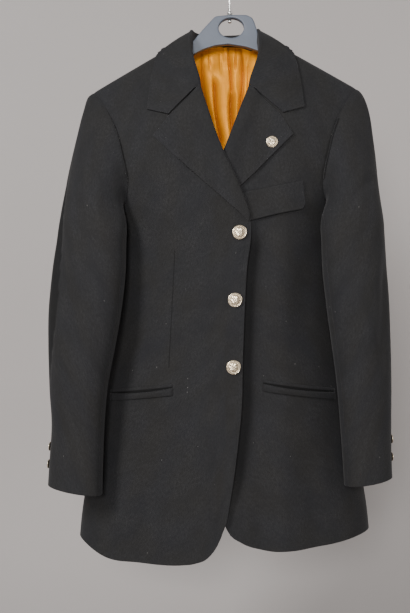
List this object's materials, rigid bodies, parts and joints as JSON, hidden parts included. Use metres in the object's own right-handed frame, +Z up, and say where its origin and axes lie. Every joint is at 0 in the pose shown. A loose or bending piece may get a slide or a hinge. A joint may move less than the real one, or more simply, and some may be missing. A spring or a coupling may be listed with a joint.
{
  "type": "suit jacket on hanger",
  "caption": "Long dark wool suit jacket, buttoned, with notched lapels, breast flap, slanted hip pockets and satin back lining, hanging on a moulded hanger.",
  "frame": {"origin": "inside top of the hook, where it rests on a rod", "axes": "+Z up along the jacket's length; the front faces -Y; the wearer's right is -X"},
  "size_m": [0.5483, 0.1765, 0.9637],
  "materials": {
    "dark_wool": "near-black fine wool with a slight nap",
    "gold_satin": "golden-orange satin lining with a soft sheen",
    "pale_metal": "pale silver-gold pressed metal with a raised motif",
    "blue_grey_plastic": "smooth moulded plastic, blue-grey",
    "steel_wire": "plated steel wire"
  },
  "bodies": {
    "root": {"front_right": "dark_wool", "front_left": "dark_wool", "back_right": "dark_wool", "back_left": "dark_wool", "sleeve_top_right": "dark_wool", "sleeve_under_right": "dark_wool", "sleeve_top_left": "dark_wool", "sleeve_under_left": "dark_wool", "lapel_right": "dark_wool", "lapel_left": "dark_wool", "collar": "dark_wool", "collar_stand": "dark_wool", "breast_flap": "dark_wool", "hip_jet_upper_right": "dark_wool", "hip_jet_lower_right": "dark_wool", "hip_jet_upper_left": "dark_wool", "hip_jet_lower_left": "dark_wool", "front_button_1": "pale_metal", "front_button_2": "pale_metal", "front_button_3": "pale_metal", "lapel_stud": "pale_metal", "cuff_button_right_1": "pale_metal", "cuff_button_right_2": "pale_metal", "cuff_button_left_1": "pale_metal", "cuff_button_left_2": "pale_metal", "lining_back": "gold_satin", "hanger": "blue_grey_plastic", "hook": "steel_wire"}
  },
  "joints": []
}
